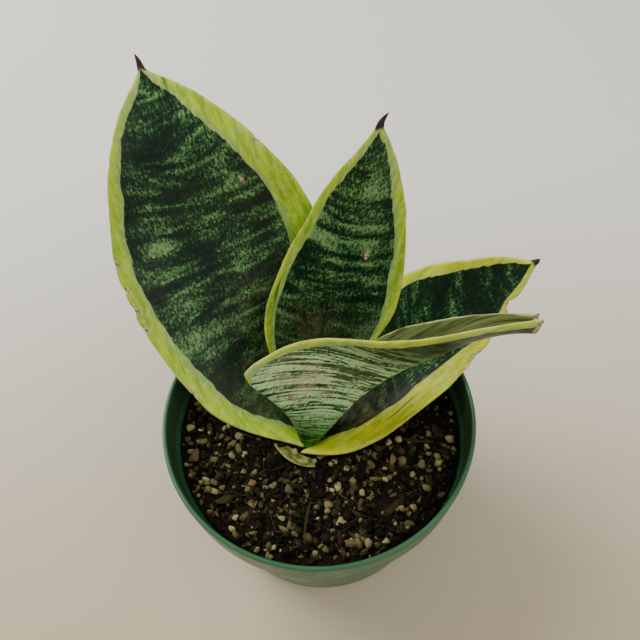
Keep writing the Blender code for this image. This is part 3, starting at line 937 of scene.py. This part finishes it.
def bed_height(x, y):
    """The mix's surface at arrays of x and y: low swells, crumbly lumps and two hollows."""
    points = np.stack([x, y, np.zeros_like(x)], 1) / MM
    swell = 1.0 * lumps(points, 15, 2) + 0.55 * lumps(points, 5, 4)
    crumble = 0.6 * lumps(points, 2.4, 6) + 0.4 * lumps(points, 1.2, 9)
    dip = -np.maximum(hollow_depth(points, SHEATH_HOLLOW), hollow_depth(points, CROWN_HOLLOW))
    return SOIL_LEVEL + (swell + crumble + dip - BED_DROP) * MM


def build_bed(looks):
    """The mix as one closed body: a lumpy top, and a foot that fills the pot's narrower floor."""
    rings, steps = ((120, 420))
    turns = np.arange(steps) * math.tau / steps
    reach = np.linspace(0.2 * MM, SOIL_REACH, rings)
    x = np.outer(reach, np.cos(turns)).ravel()
    y = np.outer(reach, np.sin(turns)).ravel()
    foot_reach = wall_radius(FLOOR) - WALL - 2.2 * MM
    foot_height = np.full(steps, FLOOR + 0.4 * MM)
    foot = np.stack([foot_reach * np.cos(turns), foot_reach * np.sin(turns), foot_height], 1)
    points = np.concatenate([np.stack([x, y, bed_height(x, y)], 1), foot])
    ring = np.arange(steps)
    after = (ring + 1) % steps
    faces = []
    for inner in range(0, rings * steps, steps):
        outer = inner + steps
        faces.append(np.stack([inner + ring, outer + ring, outer + after, inner + after], 1))
    faces += [ring[None], rings * steps + ring[None, ::-1]]
    tone = 0.42 + 0.3 * lumps(points / MM, 3.0, 12)
    mesh_object(
        "potting_mix_bed", points, faces, peat_material(looks), {"grain_tone": tone},
        ["potting_mix"],
    )


def ico_shape(detail):
    shape = bmesh.new()
    bmesh.ops.create_icosphere(shape, subdivisions=detail, radius=0.5)
    corners = np.array([corner.co for corner in shape.verts])
    faces = np.array([[corner.index for corner in face.verts] for face in shape.faces])
    shape.free()
    return corners, faces


def angular(corners, cuts, generator, shallow=0.20):
    """A ball of points flattened by a few random planes, which gives it broken faces."""
    shaped = corners.copy()
    for _ in range(cuts):
        way = generator.normal(size=3)
        way /= np.linalg.norm(way)
        limit = generator.uniform(shallow, 0.42)
        over = np.maximum(shaped @ way - limit, 0)
        shaped -= over[:, None] * way * 0.92
    return shaped


def turn_matrix(generator, tilt):
    """A random turn about Z and a tilt up to the given radians about a random level axis."""
    spin = Euler((0, 0, generator.uniform(0, math.tau))).to_matrix()
    lean = Euler((generator.uniform(-tilt, tilt), generator.uniform(-tilt, tilt), 0)).to_matrix()
    return np.array(lean @ spin)


class Heap:
    """Collects many small shapes into one mesh, each with its own tone."""

    def __init__(self):
        self.points, self.faces, self.tones, self.count = [], [], [], 0

    def add(self, corners, faces, tone):
        self.points.append(corners)
        self.faces.append(faces + self.count)
        self.tones.append(np.full(len(corners), tone))
        self.count += len(corners)

    def build(self, name, finish, nodes=()):
        tones = {"grain_tone": np.concatenate(self.tones)}
        mesh_object(name, np.concatenate(self.points), self.faces, finish, tones, nodes)


def leaf_tree():
    """The grown blades as one tree, to keep grains from poking through them."""
    points, faces = [], []
    for blade in (*BLADES, SHEATH):
        mesh = bpy.data.objects[f"{blade.node}_blade"].data
        start = len(points)
        points += [corner.co.copy() for corner in mesh.vertices]
        faces += [[start + index for index in face.vertices] for face in mesh.polygons]
    return BVHTree.FromPolygons(points, faces)


@dataclass(frozen=True)
class Litter:
    """One kind of loose grain: its sizes in mm, how far the small ones prevail, its proportions,
    how far it stands out of the bed as a share of its size, and the range of its tones."""

    sizes: tuple
    smallness: float
    proportions: tuple = ()
    lift: tuple = ()
    tones: tuple = ()


CRUMBS = Litter((1.1, 4.0), 1.5, (1.4, 0.85, 0.55), (-0.05, 0.35), (0.0, 0.95))
BARK = Litter((2.6, 8.0), 2.0, (1.35, 0.62, 0.30), (0.02, 0.16), (0.0, 0.75))
PERLITE = Litter((1.5, 3.9), 1.5, (1.0, 0.92, 0.85), (0.05, 0.32), (0.1, 0.95))
GRIT = Litter((1.8, 3.8), 1.6, (1.1, 0.9, 0.75), (0.05, 0.3), (0.0, 1.0))
FIBRES = Litter((3, 9), 1.5)
CRUMBS_PER_BARK_CHIP = 7
PERLITE_PER_GRIT = 6
# Perlite against the foot of the leaves, in mm: x, y, height over the mix, size
FRONT_PERLITE = ((-8.6, -9.6, 0.9, 2.7), (-1.9, -13.4, 0.7, 2.3), (3.4, -14.6, 0.2, 2.2))


def scatter(kind, count, generator, keep_off):
    """Random places on the bed (x, y and size) and their heights, clear of leaves and wall."""
    smallest, largest = (size * MM for size in kind.sizes)
    crown_x, crown_y, crown_reach = (length * MM for length in CROWN_HOLLOW[:3])
    found = []
    while len(found) < count:
        reach = math.sqrt(generator.uniform()) * SOIL_REACH
        turn = generator.uniform(0, math.tau)
        size = smallest + (largest - smallest) * generator.uniform() ** kind.smallness
        if reach + size / 2 > SOIL_REACH + 0.3 * MM:
            continue
        x, y = reach * math.cos(turn), reach * math.sin(turn)
        if math.hypot(x - crown_x, y - crown_y) < crown_reach:
            continue
        near = keep_off.find_nearest(Vector((x, y, SOIL_LEVEL - BED_DROP * MM)))[3]
        if near < size * 0.45 + 0.15 * MM:
            continue
        found.append((x, y, size))
    found = np.array(found)
    return found, bed_height(found[:, 0], found[:, 1])


def heap_grains(heap, kind, count, shapes, faces, generator, keep_off):
    places, heights = scatter(kind, count, generator, keep_off)
    for (x, y, size), height in zip(places, heights):
        shape = shapes[generator.integers(len(shapes))]
        stretch = np.array(kind.proportions) * generator.uniform(0.8, 1.2, 3)
        corners = (shape * stretch * size) @ turn_matrix(generator, 0.9).T
        corners += (x, y, height + generator.uniform(*kind.lift) * size)
        heap.add(corners, faces, generator.uniform(*kind.tones))


def heap_named(heap, nodes, shapes, faces, tones, generator):
    """The larger pieces of one kind, each where its CAD node lies and of its size."""
    for node in nodes:
        low, high = (np.array(corner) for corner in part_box(node))
        shape = shapes[generator.integers(len(shapes))]
        size = high - low
        middle = (high + low) / 2
        middle[2] -= 0.25 * size[2]
        heap.add(shape * size * 1.06 + middle, faces, generator.uniform(*tones))


def add_fibre(heap, middle, way, radius, generator, tone):
    """A short bent stick with an uneven round section and tapering ends."""
    rings, sides = 11, 8
    along = np.linspace(-0.5, 0.5, rings)
    across = np.cross(way, (0, 0, 1))
    bend = generator.uniform(-0.18, 0.18)
    centres = middle + along[:, None] * way + (bend * (0.25 - along**2))[:, None] * across
    across /= np.linalg.norm(across)
    up = np.cross(across, way / np.linalg.norm(way))
    turns = np.arange(sides) * math.tau / sides
    widths = radius * (1 - 0.6 * np.abs(2 * along) ** 3) * generator.uniform(0.8, 1.2, rings)
    section = np.cos(turns)[:, None] * across + np.sin(turns)[:, None] * up
    points = centres[:, None] + widths[:, None, None] * section
    points = np.concatenate([points.reshape(-1, 3), centres[:1], centres[-1:]])
    faces = []
    for ring in range(rings - 1):
        for side in range(sides):
            a, b = ring * sides + side, ring * sides + (side + 1) % sides
            faces += [(a, b, b + sides), (a, b + sides, a + sides)]
    first, last, last_ring = rings * sides, rings * sides + 1, (rings - 1) * sides
    for side in range(sides):
        after = (side + 1) % sides
        faces += [(first, after, side), (last, last_ring + side, last_ring + after)]
    heap.add(points, np.array(faces)[:, ::-1], tone)


# ---------------------------------------------------------------- operators


class SNAKEPLANT_OT_leaves(bpy.types.Operator):
    """Grow the four leaves and the old sheath at their foot"""

    bl_idname = "snakeplant.leaves"
    bl_label = "Leaves"

    def execute(self, context):
        for blade in (*BLADES, SHEATH):
            build_blade(blade, context.scene.snake_leaves)
        return {"FINISHED"}


class SNAKEPLANT_OT_crown(bpy.types.Operator):
    """Give the crown its corky skin"""

    bl_idname = "snakeplant.crown"
    bl_label = "Crown"

    def execute(self, context):
        mesh = bpy.data.objects["crown"].data
        mesh.materials.clear()
        mesh.materials.append(rhizome_material())
        return {"FINISHED"}


class SNAKEPLANT_OT_pot(bpy.types.Operator):
    """Mould the pot with its collar, rolled lip and drain holes"""

    bl_idname = "snakeplant.pot"
    bl_label = "Pot"

    def execute(self, context):
        shape = turned(pot_profile(), 193)
        mesh = bpy.data.meshes.new("grow_pot")
        shape.to_mesh(mesh)
        shape.free()
        pot = bpy.data.objects.new("grow_pot", mesh)
        context.scene.collection.objects.link(pot)
        cut_drain_holes(pot)
        pot.data.materials.clear()
        pot.data.materials.append(moulded_plastic_material(context.scene.snake_pot))
        pot.data.shade_smooth()
        pot.data.set_sharp_from_angle(angle=math.radians(50))
        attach(pot, BODY)
        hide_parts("pot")
        return {"FINISHED"}


class SNAKEPLANT_OT_mix(bpy.types.Operator):
    """Lay the bed of potting mix and the crumbs on it"""

    bl_idname = "snakeplant.mix"
    bl_label = "Potting mix"

    def execute(self, context):
        looks = context.scene.snake_mix
        build_bed(looks)
        generator = np.random.default_rng(11)
        fine, fine_faces = ico_shape(2)
        chips = [angular(fine, 11, generator, 0.10) for _ in range(14)]
        coarse, coarse_faces = ico_shape(1)
        crumbs = [angular(coarse, 7, generator, 0.08) for _ in range(20)]
        keep_off = leaf_tree()
        amount = looks.crumbs // 1
        heap = Heap()
        heap_grains(heap, CRUMBS, amount, crumbs, coarse_faces, generator, keep_off)
        heap.build("peat_crumbs", crumb_material())
        bark = Heap()
        heap_grains(bark, BARK, amount // CRUMBS_PER_BARK_CHIP, chips, fine_faces, generator, keep_off)
        named = nodes_like("bark_chip")
        heap_named(bark, named, chips, fine_faces, (0.7, 1.0), generator)
        bark.build("bark_chips", bark_material("chipped_pine_bark"), named)
        return {"FINISHED"}


class SNAKEPLANT_OT_grains(bpy.types.Operator):
    """Scatter perlite and grit on the mix"""

    bl_idname = "snakeplant.grains"
    bl_label = "Perlite and grit"

    def execute(self, context):
        generator = np.random.default_rng(23)
        ball, faces = ico_shape(2)
        shapes = [angular(ball, 12, generator) for _ in range(16)]
        keep_off = leaf_tree()
        amount = context.scene.snake_mix.grains // 1
        perlite = Heap()
        heap_grains(perlite, PERLITE, amount, shapes, faces, generator, keep_off)
        for x, y, lift, size in FRONT_PERLITE:
            shape = shapes[generator.integers(len(shapes))]
            perlite.add((shape * size + (x, y, lift)) * MM + (0, 0, SOIL_LEVEL), faces, 0.8)
        named = nodes_like("perlite")
        heap_named(perlite, named, shapes, faces, (0.6, 1.0), generator)
        perlite.build("perlite_grains", perlite_material(), named)
        grit = Heap()
        heap_grains(grit, GRIT, amount // PERLITE_PER_GRIT, shapes, faces, generator, keep_off)
        named = nodes_like("grit_stone")
        heap_named(grit, named, shapes, faces, (0.2, 0.9), generator)
        grit.build("grit_stones", grit_material(), named)
        return {"FINISHED"}


class SNAKEPLANT_OT_twigs(bpy.types.Operator):
    """Lay twigs and coarse fibres on the mix"""

    bl_idname = "snakeplant.twigs"
    bl_label = "Twigs and fibres"

    def execute(self, context):
        generator = np.random.default_rng(37)
        heap = Heap()
        named = nodes_like("twig")
        for node in named:
            low, high = (np.array(corner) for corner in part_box(node))
            way = (high - low) * (1, -1 if node == "twig_01" else 1, 0)
            add_fibre(heap, (low + high) / 2, way, 0.6 * MM, generator, 0.5)
        places, heights = scatter(FIBRES, context.scene.snake_mix.fibres, generator, leaf_tree())
        for (x, y, size), height in zip(places, heights):
            turn = generator.uniform(0, math.tau)
            way = np.array([math.cos(turn), math.sin(turn), generator.uniform(-0.15, 0.15)]) * size
            middle = np.array([x, y, height + 0.9 * MM])
            radius = generator.uniform(0.12, 0.35) * MM
            add_fibre(heap, middle, way, radius, generator, generator.uniform(0.0, 0.7))
        heap.build("twigs_and_fibres", bark_material("dry_twig_bark"), named)
        return {"FINISHED"}


class SNAKEPLANT_OT_stage(bpy.types.Operator):
    """Set the pale floor, the soft light and the camera"""

    bl_idname = "snakeplant.stage"
    bl_label = "Stage"

    def execute(self, context):
        looks = context.scene.snake_stage
        build_floor(looks)
        build_lights(looks)
        build_camera()
        return {"FINISHED"}


FLOOR_HALF = 3.0  # metres, far past the edge of the view


def build_floor(looks):
    shape = bmesh.new()
    bmesh.ops.create_grid(shape, x_segments=2, y_segments=2, size=FLOOR_HALF)
    mesh = bpy.data.meshes.new("floor")
    shape.to_mesh(mesh)
    shape.free()
    mesh.materials.append(floor_material(looks))
    floor = bpy.data.objects.new("floor", mesh)
    bpy.context.scene.collection.objects.link(floor)


def area_light(name, place, aim, size, power, colour):
    data = bpy.data.lights.new(name, "AREA")
    data.shape = "DISK"
    data.size = size
    data.energy = power
    data.color = linear(colour)
    made = bpy.data.objects.new(name, data)
    made.location = place
    made.rotation_euler = (Vector(place) - Vector(aim)).to_track_quat("Z", "Y").to_euler()
    bpy.context.scene.collection.objects.link(made)


def build_lights(looks):
    """A broad window-like light from the upper left and behind, and a weak warm fill."""
    aim = (0, 0, RIM_HEIGHT)
    area_light("window", (-0.75, 0.55, 0.95), aim, 0.9, looks.key_power, "#fffaf0")
    area_light("fill", (0.8, -0.6, 0.9), aim, 1.2, looks.key_power * 0.35, "#fff3e4")
    world = bpy.data.worlds.new("soft_room")
    bpy.context.scene.world = world
    world.use_nodes = True
    background = world.node_tree.nodes["Background"]
    background.inputs["Color"].default_value = paint("#efece4")
    background.inputs["Strength"].default_value = 0.72


CAMERA_BACK = 102.5 * MM
CAMERA_ABOVE_RIM = 189.7 * MM
CAMERA_RIGHT = 2.0 * MM
CAMERA_DOWN = 53.7
CAMERA_ROLL = -2.79


def build_camera():
    """A phone-like wide view from above the front, held a little off level."""
    data = bpy.data.cameras.new("camera")
    data.sensor_width = 36
    data.lens = 36
    data.clip_start = 0.01
    made = bpy.data.objects.new("camera", data)
    level = Matrix.Rotation(math.radians(90 - CAMERA_DOWN), 4, "X")
    roll = Matrix.Rotation(math.radians(CAMERA_ROLL), 4, "Z")
    place = Matrix.Translation((CAMERA_RIGHT, -CAMERA_BACK, RIM_HEIGHT + CAMERA_ABOVE_RIM))
    made.matrix_world = place @ level @ roll
    bpy.context.scene.collection.objects.link(made)
    bpy.context.scene.camera = made


class SNAKEPLANT_PT_panel(bpy.types.Panel):
    """The plant's pieces and their settings"""

    bl_label = "Snake Plant"
    bl_idname = "SNAKEPLANT_PT_panel"
    bl_space_type = "VIEW_3D"
    bl_region_type = "UI"
    bl_category = "Snake Plant"

    def draw(self, context):
        scene = context.scene
        for group in (scene.snake_leaves, scene.snake_pot, scene.snake_mix, scene.snake_stage):
            box = self.layout.box()
            for name in group.bl_rna.properties.keys():
                if name not in ("rna_type", "name"):
                    box.prop(group, name)
        for operator in OPERATORS:
            self.layout.operator(operator.bl_idname)


OPERATORS = (
    SNAKEPLANT_OT_pot,
    SNAKEPLANT_OT_crown,
    SNAKEPLANT_OT_leaves,
    SNAKEPLANT_OT_mix,
    SNAKEPLANT_OT_grains,
    SNAKEPLANT_OT_twigs,
    SNAKEPLANT_OT_stage,
)
SETTINGS = {
    "snake_leaves": LeafLooks,
    "snake_pot": PotLooks,
    "snake_mix": MixLooks,
    "snake_stage": StageLooks,
}


def register():
    for name, group in SETTINGS.items():
        bpy.utils.register_class(group)
        setattr(bpy.types.Scene, name, bpy.props.PointerProperty(type=group))
    for operator in OPERATORS:
        bpy.utils.register_class(operator)
    bpy.utils.register_class(SNAKEPLANT_PT_panel)


def unregister():
    bpy.utils.unregister_class(SNAKEPLANT_PT_panel)
    for operator in reversed(OPERATORS):
        bpy.utils.unregister_class(operator)
    for name, group in SETTINGS.items():
        delattr(bpy.types.Scene, name)
        bpy.utils.unregister_class(group)


def main():
    register()
    bpy.ops.snakeplant.pot()
    bpy.ops.snakeplant.crown()
    bpy.ops.snakeplant.leaves()
    bpy.ops.snakeplant.mix()
    bpy.ops.snakeplant.grains()
    bpy.ops.snakeplant.twigs()
    bpy.ops.snakeplant.stage()


if __name__ == "__main__":
    main()
